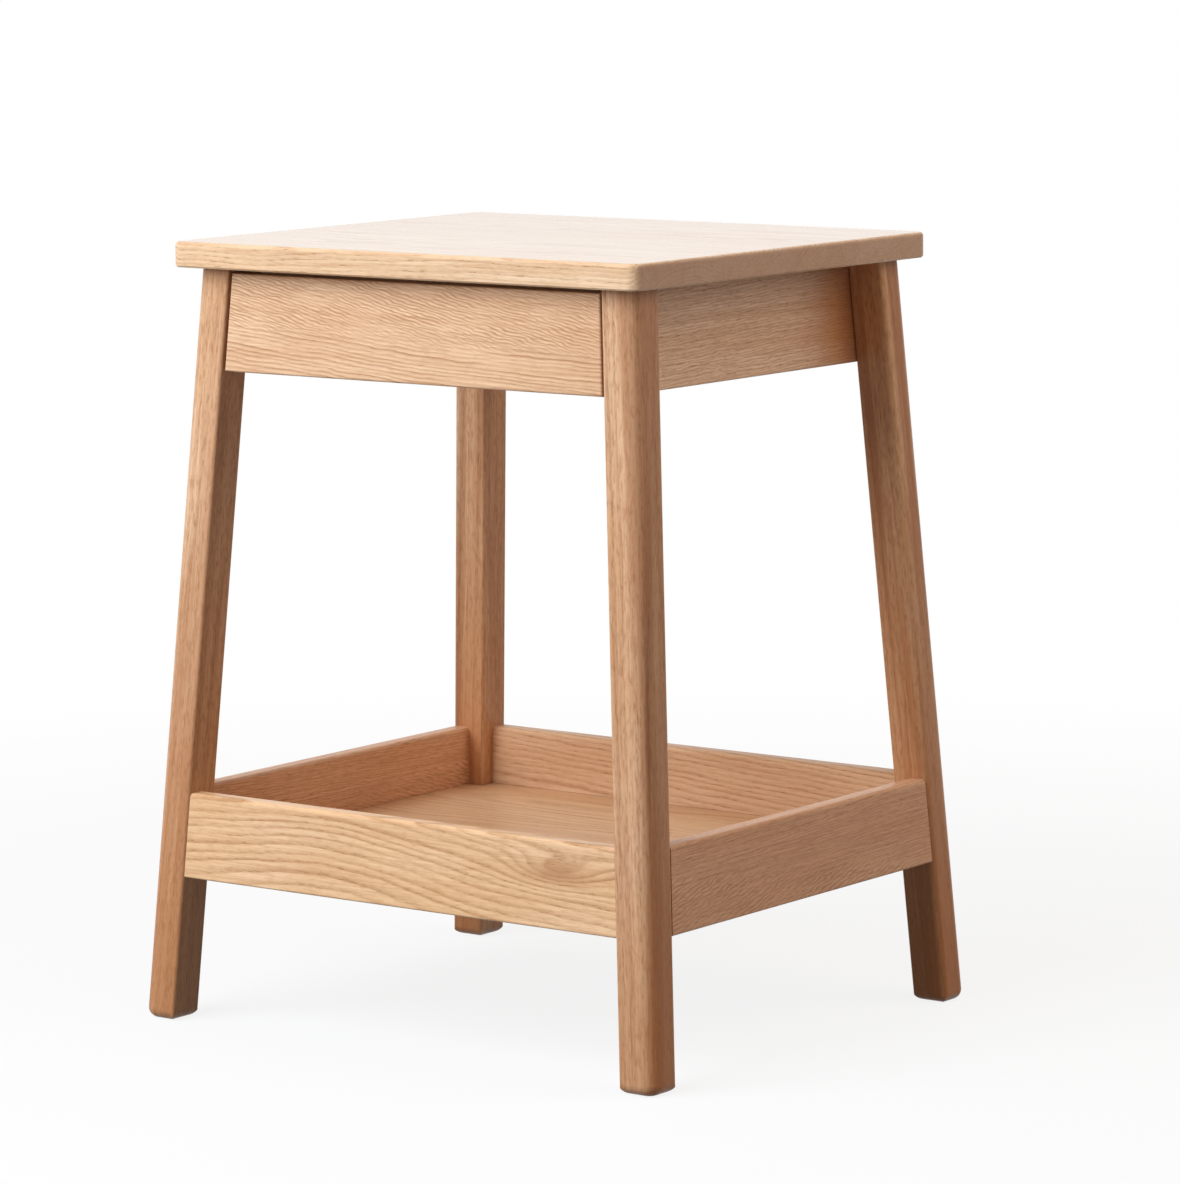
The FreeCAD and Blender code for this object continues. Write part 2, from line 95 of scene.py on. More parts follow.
# Places of the colour sockets of the Mix node, among those for its other kinds of value
MIX_FIRST_COLOUR, MIX_SECOND_COLOUR, MIX_COLOUR_RESULT = 6, 7, 2


class Graph:
    """Short forms for the nodes of one tree."""

    def __init__(self, tree):
        self.tree = tree

    def node(self, kind, **settings):
        made = self.tree.nodes.new(kind)
        for key, value in settings.items():
            setattr(made, key, value)
        return made

    def feed(self, socket, value):
        """Links a socket to another one, or sets its own value."""
        if isinstance(value, bpy.types.NodeSocket):
            self.tree.links.new(value, socket)
        else:
            socket.default_value = value

    def math(self, operation, *values):
        made = self.node("ShaderNodeMath", operation=operation)
        for socket, value in zip(made.inputs, values):
            self.feed(socket, value)
        return made.outputs[0]

    def product(self, first, *others):
        for other in others:
            first = self.math("MULTIPLY", first, other)
        return first

    def vector(self, operation, *values):
        made = self.node("ShaderNodeVectorMath", operation=operation)
        for socket, value in zip(made.inputs, values):
            self.feed(socket, value)
        return made.outputs["Value" if operation in ("LENGTH", "DOT_PRODUCT") else "Vector"]

    def scaled(self, vector, factor):
        made = self.node("ShaderNodeVectorMath", operation="SCALE")
        self.feed(made.inputs[0], vector)
        self.feed(made.inputs["Scale"], factor)
        return made.outputs["Vector"]

    def split(self, vector):
        made = self.node("ShaderNodeSeparateXYZ")
        self.feed(made.inputs[0], vector)
        return made.outputs

    def join(self, x, y, z):
        made = self.node("ShaderNodeCombineXYZ")
        for socket, value in zip(made.inputs, (x, y, z)):
            self.feed(socket, value)
        return made.outputs[0]

    def mapped(self, vector, kind, location=(0.0, 0.0, 0.0), rotation=(0.0, 0.0, 0.0)):
        made = self.node("ShaderNodeMapping", vector_type=kind)
        made.inputs["Location"].default_value = location
        made.inputs["Rotation"].default_value = rotation
        self.feed(made.inputs["Vector"], vector)
        return made.outputs[0]

    def noise(self, place, per_metre, detail, rough):
        """Noise with its own fineness along each axis, in cycles per metre."""
        made = self.node("ShaderNodeTexNoise", noise_dimensions="3D")
        self.feed(made.inputs["Vector"], self.vector("MULTIPLY", place, per_metre))
        made.inputs["Scale"].default_value = 1.0
        made.inputs["Detail"].default_value = detail
        made.inputs["Roughness"].default_value = rough
        return made.outputs

    def bell(self, place, centre, spread):
        """Falls off from 1 at a centre to nearly 0 at twice the spread."""
        steps = self.vector("DIVIDE", self.vector("SUBTRACT", place, centre), spread)
        return self.math("EXPONENT", self.math("MULTIPLY", self.vector("DOT_PRODUCT", steps, steps), -1.0))

    def ramp(self, value, stops):
        """Straight pieces from stop to stop, each a place and a grey level."""
        made = self.node("ShaderNodeValToRGB")
        elements = made.color_ramp.elements
        while len(elements) < len(stops):
            elements.new(0.5)
        for element, (place, level) in zip(elements, stops):
            element.position = place
            element.color = (level, level, level, 1.0)
        self.feed(made.inputs[0], value)
        return made.outputs[0]

    def limits(self, value, low, high, start=0.0, end=1.0):
        """Smooth step from start to end while the value goes from low to high."""
        made = self.node("ShaderNodeMapRange", interpolation_type="SMOOTHSTEP")
        for socket, setting in zip(made.inputs, (value, low, high, start, end)):
            self.feed(socket, setting)
        return made.outputs[0]

    def mix(self, share, first, second):
        made = self.node("ShaderNodeMix", data_type="RGBA")
        self.feed(made.inputs[0], share)
        self.feed(made.inputs[MIX_FIRST_COLOUR], first)
        self.feed(made.inputs[MIX_SECOND_COLOUR], second)
        return made.outputs[MIX_COLOUR_RESULT]

    def bump(self, height, strength, distance):
        made = self.node("ShaderNodeBump")
        made.inputs["Strength"].default_value = strength
        made.inputs["Distance"].default_value = distance
        self.feed(made.inputs["Height"], height)
        return made.outputs[0]


def new_material(name):
    material = bpy.data.materials.new(name)
    material.use_nodes = True
    return material, Graph(material.node_tree), material.node_tree.nodes["Principled BSDF"]


# Figure of solid wood: year rings round a pith that mostly lies outside the board.
# A board's own axes are X along the grain, Y across its face and Z out of its face.

FIGURE_INPUTS = {
    "Place": "NodeSocketVector",
    "Pith": "NodeSocketVector",
    "Run": "NodeSocketVector",
    "Ring": "NodeSocketFloat",
    "Wander": "NodeSocketFloat",
    "Ripple": "NodeSocketFloat",
    "Lift": "NodeSocketFloat",
    "Seed": "NodeSocketFloat",
}
FIGURE_OUTPUTS = {
    "Bent": "NodeSocketVector",
    "Early": "NodeSocketFloat",
    "Pore": "NodeSocketFloat",
    "Ray": "NodeSocketFloat",
    "Cloud": "NodeSocketFloat",
    "Streak": "NodeSocketFloat",
    "Fibre": "NodeSocketFloat",
    "Fleck": "NodeSocketFloat",
}
MIDDLE = (0.5, 0.5, 0.5)

# Noises: fineness along, across and into the board in cycles per metre, then detail and roughness
SWAY_NOISE = (3.5, 9.0, 9.0), 2.0, 0.5
WAVE_NOISE = (38.0, 90.0, 90.0), 1.5, 0.5
CLOUD_NOISE = (5.0, 16.0, 16.0), 2.0, 0.5
STREAK_NOISE = (2.5, 95.0, 95.0), 3.0, 0.5
FIBRE_NOISE = (16.0, 750.0, 750.0), 3.0, 0.6
FLECK_NOISE = (110.0, 520.0, 520.0), 2.0, 0.6
PORE_NOISE = (150.0, 1700.0, 1700.0), 1.0, 0.5
CURL_JITTER_NOISE = (62.0, 180.0, 180.0), 1.0, 0.5
CURL_PATCH_NOISE = (24.0, 70.0, 70.0), 1.0, 0.5

# Noises that go by the rings: by radius, by place and number of the ring, by place, angle and radius
RING_UNEVEN_NOISE = (55.0, 1.0, 1.0), 2.0, 0.5
RING_FADE_NOISE = (9.0, 3.7, 10.0), 2.0, 0.5
RAY_NOISE = (75.0, 95.0, 30.0), 1.0, 0.5

# Year rings: depth of colour through one ring, and how unlike the rings are
EARLYWOOD_STOPS = ((0.0, 0.12), (0.1, 0.85), (0.25, 0.72), (0.5, 0.25), (0.8, 0.03), (1.0, 0.12))
RING_UNEVENNESS = 2.4

# Where each part of the figure sets in, and its least depth where it doesn't go to nothing
RING_FADE_RANGE, RING_FADE_LEAST = (0.3, 0.7), 0.35
PORE_RANGE = (0.55, 0.66)
PORE_EARLY_RANGE, PORE_LEAST = (0.05, 0.7), 0.12
RAY_RANGE = (0.62, 0.7)
CLOUD_RANGE = (0.32, 0.68)
# Painted shade bands are made patchy by the cloud noise, down to their least share
SHADE_BAND_PATCH_RANGE, SHADE_BAND_LEAST = (0.3, 0.6), 0.6
CURL_PATCH_RANGE, CURL_LEAST = (0.3, 0.65), 0.25
CURL_LINE_RANGE = (-0.3, 0.95)

# Fine marks over the ground colour: part of the figure, its tone and where it sets in
FINE_MARKS = (
    ("Streak", "streak", (0.42, 0.66)),
    ("Fibre", "early", (0.35, 0.75)),
    ("Fleck", "early", (0.45, 0.7)),
)

# How far the lines of a curl stray, in turns
CURL_JITTER = 1.8

# Limits of the slope that tell end grain, broad faces and the glossy top apart
END_GRAIN_RANGE, END_RINGS_KEPT = (0.6, 0.95), 0.5
BROAD_FACE_RANGE = (0.4, 0.9)
GLOSSY_FACE_RANGE = (0.8, 0.98)

# Surface of the lacquered wood: roughness from late to early wood, relief in metres
WOOD_ROUGHNESS = (0.38, 0.5)
WOOD_SPECULAR = 0.12
LACQUER_IOR = 1.5
EARLYWOOD_SINK = 0.25
RELIEF_STRENGTH, RELIEF_DEPTH = 0.2, 0.0003

# Glued strips: how far apart along the log they may come from, in metres, and their widths
STAVE_SHIFT = 3.0
TOP_STAVE_WIDTH, TRAY_STAVE_WIDTH = 0.0875, 0.07

# First seed of a set of boards, and the step to the next board
LEG_SEED, LEG_SEED_STEP = 2.6, 0.47
INNER_SEED, INNER_SEED_STEP = 0.2, 0.43
APRON_SEED_STEP = 0.8

# The noises shift along the board by its seed, and across it by this many times as much
SEED_STEP_ACROSS = 1.7

# Stretch of a leg over which painted shade deepens its colour, from the foot end up, measured from its
# middle
FOOT_SHADE_START, FOOT_SHADE_END = -0.27, 0.2

# A leg's ends are its first and last tenth
LEG_END_PARTS = 10


def figure_group():
    """Node group with the figure of one board."""
    tree = bpy.data.node_groups.new("oak_figure", "ShaderNodeTree")
    for name, kind in FIGURE_INPUTS.items():
        tree.interface.new_socket(name, in_out="INPUT", socket_type=kind)
    for name, kind in FIGURE_OUTPUTS.items():
        tree.interface.new_socket(name, in_out="OUTPUT", socket_type=kind)
    graph = Graph(tree)
    given = graph.node("NodeGroupInput").outputs
    result = graph.node("NodeGroupOutput").inputs

    place, seed = given["Place"], given["Seed"]
    shift = graph.join(seed, graph.math("MULTIPLY", seed, SEED_STEP_ACROSS), 0.0)
    drawn = graph.vector("ADD", place, shift)
    sway = graph.vector("SUBTRACT", graph.noise(drawn, *SWAY_NOISE)["Color"], MIDDLE)
    wave = graph.vector("SUBTRACT", graph.noise(drawn, *WAVE_NOISE)["Color"], MIDDLE)
    bent = graph.vector("ADD", place, graph.scaled(sway, given["Wander"]))
    bent = graph.vector("ADD", bent, graph.scaled(wave, given["Ripple"]))
    graph.feed(result["Bent"], bent)

    x, y, z = graph.split(bent)
    run, pith = graph.split(given["Run"]), graph.split(given["Pith"])
    across = graph.math("SUBTRACT", graph.math("SUBTRACT", y, pith[1]), graph.math("MULTIPLY", x, run[1]))
    deep = graph.math("SUBTRACT", graph.math("SUBTRACT", z, pith[2]), graph.math("MULTIPLY", x, run[2]))
    radius = graph.vector("LENGTH", graph.join(across, deep, 0.0))
    radius = graph.math("ADD", radius, given["Lift"])

    uneven = graph.noise(graph.join(radius, seed, 0.0), *RING_UNEVEN_NOISE)["Fac"]
    years = graph.math("MULTIPLY_ADD", uneven, RING_UNEVENNESS, graph.math("DIVIDE", radius, given["Ring"]))
    fade = graph.noise(graph.join(x, graph.math("FLOOR", years), seed), *RING_FADE_NOISE)["Fac"]
    line = graph.ramp(graph.math("FRACT", years), EARLYWOOD_STOPS)
    early = graph.math("MULTIPLY", line, graph.limits(fade, *RING_FADE_RANGE, RING_FADE_LEAST))
    graph.feed(result["Early"], early)

    specks = graph.limits(graph.noise(drawn, *PORE_NOISE)["Fac"], *PORE_RANGE)
    pore_share = graph.limits(early, *PORE_EARLY_RANGE, PORE_LEAST)
    graph.feed(result["Pore"], graph.math("MULTIPLY", specks, pore_share))
    round_pith = graph.join(x, graph.math("ARCTAN2", deep, across), radius)
    sheets = graph.noise(round_pith, *RAY_NOISE)["Fac"]
    graph.feed(result["Ray"], graph.limits(sheets, *RAY_RANGE))
    graph.feed(result["Cloud"], graph.noise(drawn, *CLOUD_NOISE)["Fac"])
    graph.feed(result["Streak"], graph.noise(drawn, *STREAK_NOISE)["Fac"])
    graph.feed(result["Fibre"], graph.noise(drawn, *FIBRE_NOISE)["Fac"])
    graph.feed(result["Fleck"], graph.noise(drawn, *FLECK_NOISE)["Fac"])
    return tree


def figure(pith, ring, seed, run=(0.0, 0.0), wander=8.0, ripple=0.8):
    """Settings of the figure group: pith across and into the board, ring width and bends in millimetres."""
    return {
        "Pith": mm(0.0, *pith),
        "Run": (0.0, *run),
        "Ring": ring * MM,
        "Wander": wander * MM,
        "Ripple": ripple * MM,
        "Seed": seed,
    }


class Swirl:
    """A place that the rings bend round, as over a grown-in twig, with a darker patch where one is given.

    A negative height lifts the rings, and at none they stay as they are.
    """

    def __init__(self, centre, spread, height, dark_patch=0.0):
        self.centre = mm(*centre, 0.0)
        self.spread = (*mm(*spread), math.inf)
        self.height = height * MM
        self.dark_patch = dark_patch


class ShadeBand:
    """A band of painted shade along the grain, at a place across and into the board."""

    def __init__(self, place, spread, share):
        self.centre = mm(0.0, *place)
        self.spread = (math.inf, *mm(*spread))
        self.share = share


class Curl:
    """Fine wavy lines at an angle to the grain.

    They cover the side of a face that lies towards a direction, or all of it where none is given.
    """

    def __init__(self, degrees, spacing, share, rings_kept, toward=(0.0, 0.0), start=-2.0, end=-1.0):
        angle = math.radians(degrees)
        self.across = (-math.sin(angle), math.cos(angle), 0.0)
        self.spacing = spacing * MM
        self.share = share
        self.rings_kept = rings_kept
        self.toward = (*toward, 0.0)
        self.start, self.end = mm(start, end)

    def lines(self, graph, place):
        """Depth of colour of the lines, patchy and uneven."""
        jitter = graph.noise(place, *CURL_JITTER_NOISE)["Fac"]
        turns = graph.math("DIVIDE", graph.vector("DOT_PRODUCT", place, self.across), self.spacing)
        turns = graph.math("MULTIPLY_ADD", jitter, CURL_JITTER, turns)
        waves = graph.math("SINE", graph.math("MULTIPLY", turns, math.tau))
        patchy = graph.noise(place, *CURL_PATCH_NOISE)["Fac"]
        patches = graph.limits(patchy, *CURL_PATCH_RANGE, CURL_LEAST, self.share)
        return graph.product(graph.limits(waves, *CURL_LINE_RANGE), patches)


class Board:
    """Place of a board in the frame: its centre, its grain and the outward side of its face."""

    def __init__(self, node, grain, face):
        low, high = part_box(node)
        self.centre = (low + high) / 2
        self.grain = Vector(grain).normalized()
        outward = (face - self.grain * face.dot(self.grain)).normalized()
        self.axes = Matrix((self.grain, outward.cross(self.grain), outward)).transposed()


def leg_axis(node):
    """Direction of a leg from its foot to its head."""
    low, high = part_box(node)
    margin = (high.z - low.z) / LEG_END_PARTS
    points = [vertex.co for vertex in nodes[node].data.vertices]
    heads = [point for point in points if point.z > high.z - margin]
    feet = [point for point in points if point.z < low.z + margin]
    return sum(heads, Vector()) / len(heads) - sum(feet, Vector()) / len(feet)


def staves(graph, place, width):
    """Glued strips along the grain: each strip's own place in its log, and a chance value for its tone."""
    x, y, z = graph.split(place)
    index = graph.math("FLOOR", graph.math("DIVIDE", y, width))
    middle = graph.math("MULTIPLY", graph.math("ADD", index, 0.5), width)
    flip = graph.math("MULTIPLY_ADD", graph.math("FLOORED_MODULO", index, 2.0), -2.0, 1.0)
    chance = graph.node("ShaderNodeTexWhiteNoise", noise_dimensions="1D")
    graph.feed(chance.inputs["W"], index)
    along = graph.math("MULTIPLY_ADD", chance.outputs["Value"], STAVE_SHIFT, x)
    across = graph.math("MULTIPLY", graph.math("SUBTRACT", y, middle), flip)
    return graph.join(along, across, graph.math("MULTIPLY", z, flip)), chance.outputs["Value"]


def wood(name, board, tones, settings, swirls=(), curls=(), shade_bands=(), stave_width=None):
    """Lacquered wood of one board, with the figure that its place in the log gives it, and painted shade
    where shade bands or a foot tone are given.
    """
    material, graph, shader = new_material(name)
    coordinates = graph.node("ShaderNodeTexCoord").outputs
    place = graph.mapped(coordinates["Object"], "TEXTURE", board.centre, board.axes.to_euler())
    pale = tones["late"]
    if stave_width:
        place, chance = staves(graph, place, stave_width)
        stave_share = graph.math("MULTIPLY", chance, tones["stave_share"])
        pale = graph.mix(stave_share, tones["late"], tones["stave"])

    group = graph.node("ShaderNodeGroup", node_tree=FIGURE)
    graph.feed(group.inputs["Place"], place)
    for key, value in settings.items():
        group.inputs[key].default_value = value
    parts = group.outputs
    end = graph.math("ABSOLUTE", graph.vector("DOT_PRODUCT", coordinates["Normal"], board.grain))
    facing = graph.vector("DOT_PRODUCT", coordinates["Normal"], board.axes.col[2])
    broad = graph.math("ABSOLUTE", facing)
    rings_kept = graph.limits(end, *END_GRAIN_RANGE, 1.0, END_RINGS_KEPT)
    ring_share = graph.product(parts["Early"], tones["contrast"], rings_kept)

    colour = graph.mix(graph.limits(parts["Cloud"], *CLOUD_RANGE), pale, tones["cloud"])
    for part, tone, sets_in in FINE_MARKS:
        share = graph.limits(parts[part], *sets_in, 0.0, tones[part.lower() + "_share"])
        colour = graph.mix(share, colour, tones[tone])
    # Painted shade: the leg's colour darkens towards its foot, by one share on broad faces and another on
    # the sides
    if "foot" in tones:
        foot_shade_share = graph.limits(broad, *BROAD_FACE_RANGE, tones["foot_side_shade_share"], tones["foot_shade_share"])
        foot_shade = graph.limits(graph.split(place)[0], FOOT_SHADE_START, FOOT_SHADE_END, foot_shade_share, 0.0)
        colour = graph.mix(foot_shade, colour, tones["foot"])
    # Painted shade: dark bands along a leg, at a rounded corner and over a shaded side
    for shade_band in shade_bands:
        patches = graph.limits(parts["Cloud"], *SHADE_BAND_PATCH_RANGE, SHADE_BAND_LEAST * shade_band.share, shade_band.share)
        band = graph.bell(place, shade_band.centre, shade_band.spread)
        colour = graph.mix(graph.product(band, patches), colour, tones["shade_band"])
    for curl in curls:
        reach = graph.limits(graph.vector("DOT_PRODUCT", parts["Bent"], curl.toward), curl.start, curl.end)
        reach = graph.math("MULTIPLY", reach, graph.limits(broad, *BROAD_FACE_RANGE))
        ring_share = graph.product(ring_share, graph.limits(reach, 0.0, 1.0, 1.0, curl.rings_kept))
        colour = graph.mix(graph.product(curl.lines(graph, parts["Bent"]), reach), colour, tones["early"])
    lift = 0.0
    for swirl in swirls:
        bell = graph.bell(place, swirl.centre, swirl.spread)
        lift = graph.math("MULTIPLY_ADD", bell, swirl.height, lift)
        if swirl.dark_patch:
            colour = graph.mix(graph.product(bell, bell, swirl.dark_patch), colour, tones["dark_patch"])
    graph.feed(group.inputs["Lift"], lift)

    colour = graph.mix(ring_share, colour, tones["early"])
    colour = graph.mix(graph.math("MULTIPLY", parts["Ray"], tones["ray_share"]), colour, tones["ray"])
    colour = graph.mix(graph.math("MULTIPLY", parts["Pore"], tones["pore_share"]), colour, tones["pore"])
    colour = graph.mix(graph.limits(end, *END_GRAIN_RANGE, 0.0, tones["end_share"]), colour, tones["end"])
    graph.feed(shader.inputs["Base Color"], colour)
    graph.feed(shader.inputs["Roughness"], graph.limits(parts["Early"], 0.0, 1.0, *WOOD_ROUGHNESS))

    sunk = graph.math("MULTIPLY_ADD", parts["Early"], EARLYWOOD_SINK, parts["Pore"])
    relief = graph.bump(graph.math("SUBTRACT", 1.0, sunk), RELIEF_STRENGTH, RELIEF_DEPTH)
    graph.feed(shader.inputs["Normal"], relief)
    shader.inputs["Specular IOR Level"].default_value = WOOD_SPECULAR
    if "edge_gloss" in tones:
        gloss = graph.limits(facing, *GLOSSY_FACE_RANGE, tones["edge_gloss"], tones["gloss"])
        graph.feed(shader.inputs["Coat Weight"], gloss)
    else:
        shader.inputs["Coat Weight"].default_value = tones["gloss"]
    shader.inputs["Coat Roughness"].default_value = tones["gloss_roughness"]
    shader.inputs["Coat IOR"].default_value = LACQUER_IOR
    return material


FIGURE = figure_group()

# Tones of the woods, under satin lacquer
OAK = {
    "late": linear(233, 194, 153),
    "cloud": linear(224, 181, 138),
    "streak": linear(214, 168, 126),
    "streak_share": 0.35,
    "early": linear(176, 126, 86),
    "contrast": 0.72,
    "fibre_share": 0.35,
    "fleck_share": 0.2,
    "ray": linear(206, 158, 110),
    "ray_share": 0.3,
    "dark_patch": linear(176, 126, 86),
    "pore": linear(142, 98, 62),
    "pore_share": 0.55,
    "end": linear(138, 86, 54),
    "end_share": 0.5,
    "gloss": 0.16,
    "gloss_roughness": 0.25,
}
TOP_OAK = dict(
    OAK,
    late=linear(243, 215, 180),
    cloud=linear(238, 205, 166),
    stave=linear(225, 184, 142),
    stave_share=0.6,
    contrast=0.5,
    end=linear(146, 106, 95),
    gloss=1.0,
    edge_gloss=0.15,
    gloss_roughness=0.16,
)
FRONT_RAIL_OAK = dict(
    OAK,
    late=linear(245, 207, 165),
    cloud=linear(238, 196, 150),
    streak=linear(228, 182, 136),
    early=linear(176, 124, 80),
    contrast=0.82,
)
# Painted shade: a darker copy of the oak tone for the rear tray rail
SHADED_REAR_RAIL_OAK = dict(OAK, late=linear(223, 185, 149), cloud=linear(213, 172, 135))
TRAY_OAK = dict(OAK, stave=linear(212, 164, 120), stave_share=0.7, contrast=0.55)
DRAWER_OAK = dict(
    OAK,
    late=linear(239, 203, 166),
    cloud=linear(231, 189, 152),
    early=linear(170, 120, 82),
    contrast=0.94,
    ray_share=0.0,
    pore_share=0.35,
)
SIDE_OAK = dict(
    OAK,
    late=linear(234, 187, 150),
    cloud=linear(225, 175, 137),
    early=linear(168, 114, 79),
    contrast=0.5,
    fleck_share=0.3,
)
# Paler than the other oak: partly the aprons' own paler boards, partly painted light that lifts them out of
# the shade under the tabletop's overhang
APRON_OAK = dict(
    SIDE_OAK,
    late=linear(252, 223, 194),
    cloud=linear(248, 214, 181),
    early=linear(176, 124, 90),
    dark_patch=linear(160, 88, 22),
    contrast=0.42,
)
LEG_OAK = dict(
    OAK,
    late=linear(231, 191, 154),
    cloud=linear(215, 168, 126),
    streak=linear(186, 134, 98),
    streak_share=0.75,
    fleck_share=0.45,
    # colour of the painted shade towards the foot
    foot=linear(168, 100, 46),
    # colour of the painted shade bands
    shade_band=linear(112, 64, 30),
    early=linear(156, 104, 68),
    contrast=0.34,
    ray=linear(190, 140, 96),
)
PALE_WOOD = dict(
    OAK,
    late=linear(234, 203, 165),
    cloud=linear(226, 191, 150),
    streak=linear(216, 178, 136),
    early=linear(196, 158, 114),
    contrast=0.4,
    ray_share=0.0,
    pore=linear(178, 138, 98),
    pore_share=0.25,
    gloss=0.1,
)
PLYWOOD = dict(PALE_WOOD, late=linear(230, 198, 158), contrast=0.55, streak_share=0.2)


def dress(node, material):
    mesh = nodes[node].data
    mesh.materials.clear()
    mesh.materials.append(material)


def dress_panels():
    lines = figure(pith=(15.0, -62.0), ring=2.8, seed=0.4, wander=22.0)
    board = Board("tabletop", RIGHT, UP)
    dress("tabletop", wood("oak_top", board, TOP_OAK, lines, stave_width=TOP_STAVE_WIDTH))
    lines = figure(pith=(-12.0, -75.0), ring=3.4, seed=0.9, wander=22.0)
    board = Board("tray_floor", RIGHT, UP)
    dress("tray_floor", wood("oak_tray_floor", board, TRAY_OAK, lines, stave_width=TRAY_STAVE_WIDTH))
    lines = figure(pith=(20.0, -160.0), ring=3.0, seed=1.3, run=(0.0, 0.1), wander=40.0)
    dress("drawer_bottom", wood("plywood", Board("drawer_bottom", RIGHT, UP), PLYWOOD, lines))


def dress_drawer_front():
    board = Board("drawer_front", RIGHT, FRONT)
    lines = figure(pith=(60.0, -20.0), ring=2.9, seed=2.1, run=(-0.02, 0.12), wander=12.0, ripple=3.0)
    feathers = Curl(
        degrees=-13.0,
        spacing=2.2,
        share=0.7,
        rings_kept=0.45,
        toward=(0.0, 1.0),
        start=-16.0,
        end=6.0,
    )
    dress("drawer_front", wood("oak_drawer_front", board, DRAWER_OAK, lines, curls=(feathers,)))


def dress_legs():
    # Painted shade: on the front right leg, a dark line where the rounded corner turns from the lit front
    # to the shaded right side, and a broad shade over that side; on the rear left leg, a dark band on the
    # left of its front face
    shade_bands = {
        "leg_front_right": (
            ShadeBand(place=(-12.9, 8.4), spread=(1.9, 2.1), share=0.8),
            ShadeBand(place=(-14.0, -2.0), spread=(3.0, 14.0), share=0.2),
        ),
        "leg_rear_left": (ShadeBand(place=(-9.0, -14.0), spread=(2.5, 5.0), share=0.55),),
    }
    # Per leg, the shares of painted shade towards the foot on broad faces and on the sides
    own_tones = {
        "leg_front_left": {"foot_shade_share": 0.52, "foot_side_shade_share": 0.35, "streak_share": 0.55},
        "leg_front_right": {"foot_shade_share": 0.3, "foot_side_shade_share": 0.65},
        "leg_rear_left": {"foot_shade_share": 0.78, "foot_side_shade_share": 0.2},
        # Rear right leg: a darker copy of the leg tone as painted shade, with more streaks
        "leg_rear_right": {
            "late": linear(225, 181, 141),
            "cloud": linear(210, 159, 115),
            "streak": linear(178, 123, 84),
            "streak_share": 0.95,
            "foot_shade_share": 0.58,
            "foot_side_shade_share": 0.76,
        },
    }
    seed = LEG_SEED
    for side in ("left", "right"):
        for end, outward in (("front", FRONT), ("rear", REAR)):
            node = "leg_" + end + "_" + side
            board = Board(node, leg_axis(node), outward)
            lines = figure(pith=(-60.0, -34.0), ring=6.5, seed=seed, wander=13.0, ripple=2.0)
            tones = dict(LEG_OAK, **own_tones[node])
            dress(node, wood("oak_" + node, board, tones, lines, shade_bands=shade_bands.get(node, ())))
            seed += LEG_SEED_STEP


def dress_long_rails():
    lines = figure(pith=(-78.0, -42.0), ring=4.7, seed=0.65, run=(-0.04, 0.0), wander=13.0, ripple=2.0)
    hump = Swirl(centre=(-55.0, 0.0), spread=(105.0, 90.0), height=-14.0)
    eye = Swirl(centre=(137.0, 8.0), spread=(40.0, 11.0), height=14.0, dark_patch=0.7)
    board = Board("tray_rail_front", RIGHT, FRONT)
    dress("tray_rail_front", wood("oak_rail_front", board, FRONT_RAIL_OAK, lines, swirls=(hump, eye)))

    lines = figure(pith=(-70.0, -50.0), ring=3.8, seed=1.15, run=(0.05, 0.0), wander=16.0, ripple=2.4)
    board = Board("tray_rail_rear", LEFT, REAR)
    dress("tray_rail_rear", wood("oak_rail_rear", board, SHADED_REAR_RAIL_OAK, lines))


def dress_sides():
    fine = {"degrees": 3.0, "spacing": 2.1, "share": 0.4, "rings_kept": 0.5}
    coarse = {"degrees": 17.0, "spacing": 3.0, "share": 0.6, "rings_kept": 0.3}
    ripples = Curl(**fine)
    upper_ripples = Curl(**fine, toward=(0.12, 1.0), start=-16.0, end=4.0)
    slant = Curl(**coarse, toward=(-0.12, -1.0), start=0.0, end=20.0)
    # A darker orange-brown patch towards the rear end of each side apron
    patch = Swirl(centre=(130.0, -4.0), spread=(75.0, 110.0), height=0.0, dark_patch=0.8)
    for side, face, seed in (("left", LEFT, 1.65), ("right", RIGHT, 1.9)):
        lines = figure(pith=(72.0, -58.0), ring=2.7, seed=seed, run=(0.02, 0.0), wander=9.0)
        rail = "tray_rail_" + side
        board = Board(rail, UP.cross(face), face)
        dress(rail, wood("oak_rail_" + side, board, SIDE_OAK, lines, curls=(upper_ripples, slant)))
        apron = "side_apron_" + side
        lines = figure(pith=(64.0, -70.0), ring=2.5, seed=seed + APRON_SEED_STEP, run=(0.01, 0.0))
        board = Board(apron, UP.cross(face), face)
        dress(apron, wood("oak_" + apron, board, APRON_OAK, lines, swirls=(patch,), curls=(ripples,)))
    lines = figure(pith=(66.0, -60.0), ring=2.7, seed=2.3, run=(0.0, 0.04), wander=9.0)
    dress("rear_apron", wood("oak_rear_apron", Board("rear_apron", LEFT, REAR), APRON_OAK, lines))


def dress_inner_wood():
    seed = INNER_SEED
    for side, face in (("left", LEFT), ("right", RIGHT)):
        for node in ("drawer_side_" + side, "drawer_runner_" + side):
            lines = figure(pith=(55.0, -60.0), ring=3.2, seed=seed)
            dress(node, wood("pale_" + node, Board(node, UP.cross(face), face), PALE_WOOD, lines))
            seed += INNER_SEED_STEP
    for node, grain, face in (
        ("drawer_back", LEFT, REAR),
        ("top_rail_front", RIGHT, UP),
        ("top_rail_rear", RIGHT, UP),
    ):
        lines = figure(pith=(50.0, -60.0), ring=3.0, seed=seed)
        dress(node, wood("pale_" + node, Board(node, grain, face), PALE_WOOD, lines))
        seed += INNER_SEED_STEP


# Screws: flat heads with a cross recess, and a thread over a slimmer core.
# Sizes in millimetres; the head's radius and the length come from the frame.

